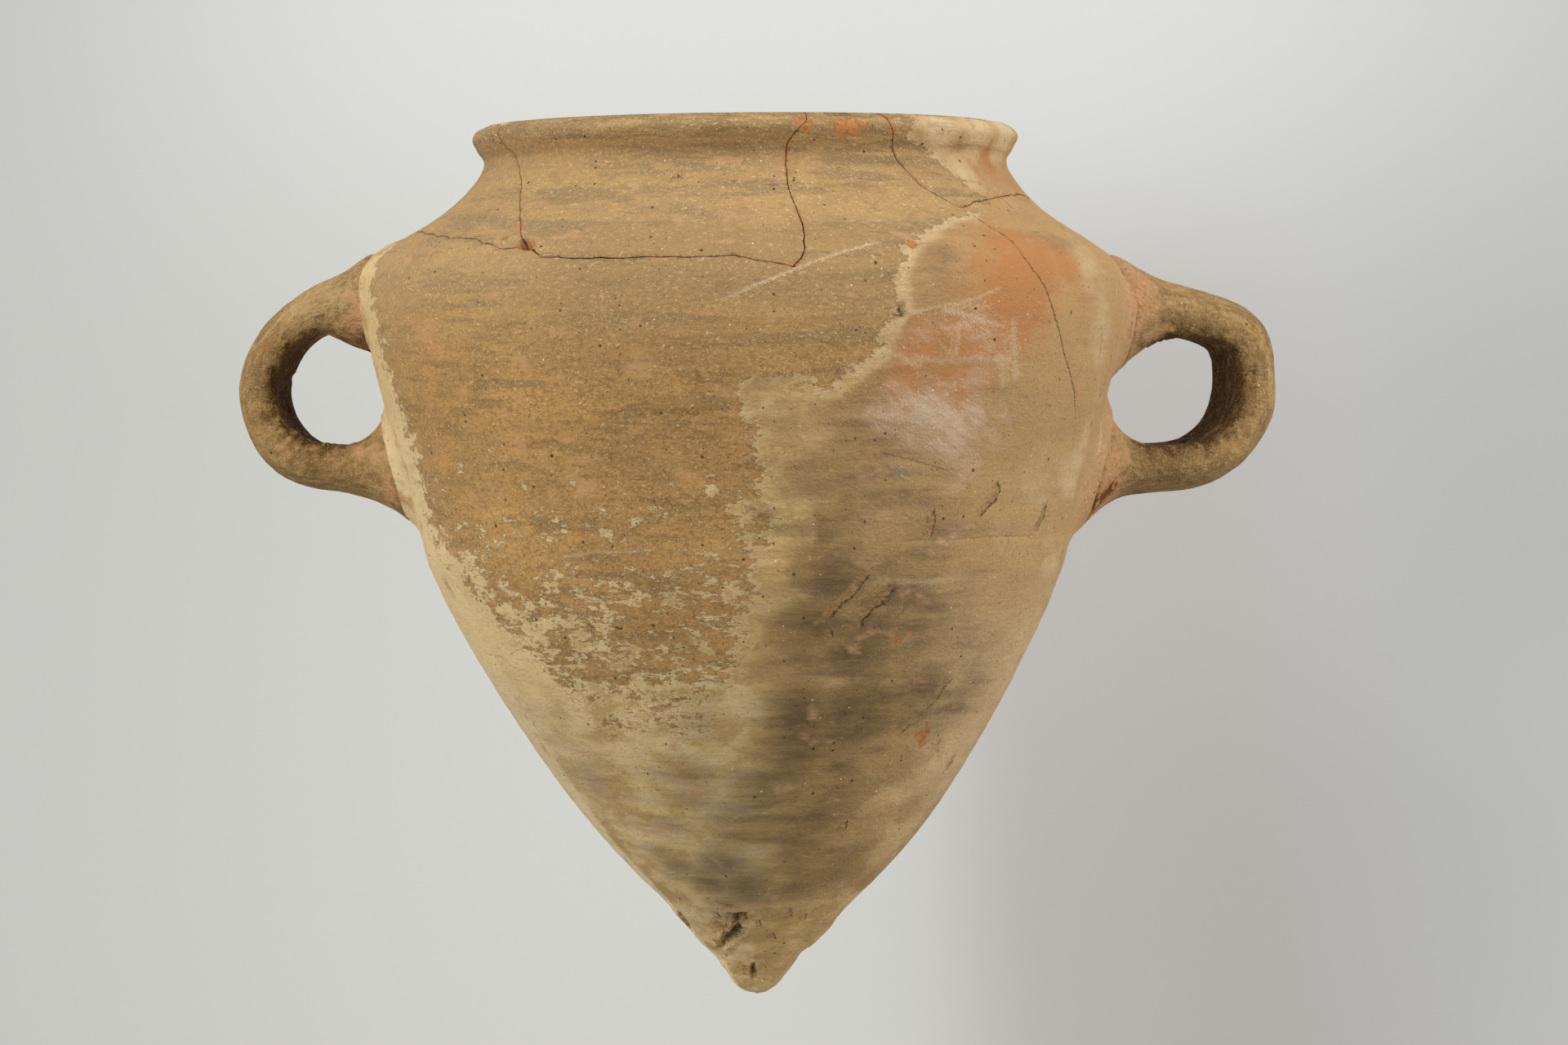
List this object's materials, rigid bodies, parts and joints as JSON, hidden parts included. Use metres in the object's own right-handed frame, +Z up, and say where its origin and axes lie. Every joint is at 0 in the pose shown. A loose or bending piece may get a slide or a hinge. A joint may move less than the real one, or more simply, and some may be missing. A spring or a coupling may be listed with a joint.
{
  "type": "amphoriskos",
  "caption": "Small two-handled clay vessel with a wide rolled lip, sloping shoulder, pointed base and strap handles, mended from sherds.",
  "frame": {"origin": "tip of the toe, below the centre of the body", "axes": "+Z up along the vessel's axis, +X along the two handles towards the larger one, -Y towards the front that shows the fewest handles"},
  "size_m": [0.2595, 0.1852, 0.214],
  "materials": {
    "worn_clay": "matte, sandy, worn",
    "smoothed_clay": "matte, smoothed, fire-clouded",
    "buff_clay": "matte, buff slip",
    "handle_clay": "matte, finger-smoothed"
  },
  "bodies": {
    "root": {"body_wall": "smoothed_clay", "rim_sherd_left": "worn_clay", "rim_sherd_front": "worn_clay", "rim_sherd_right": "worn_clay", "lower_cone": "buff_clay", "toe_knob": "buff_clay", "handle_left": "handle_clay", "handle_right": "handle_clay"}
  },
  "joints": []
}
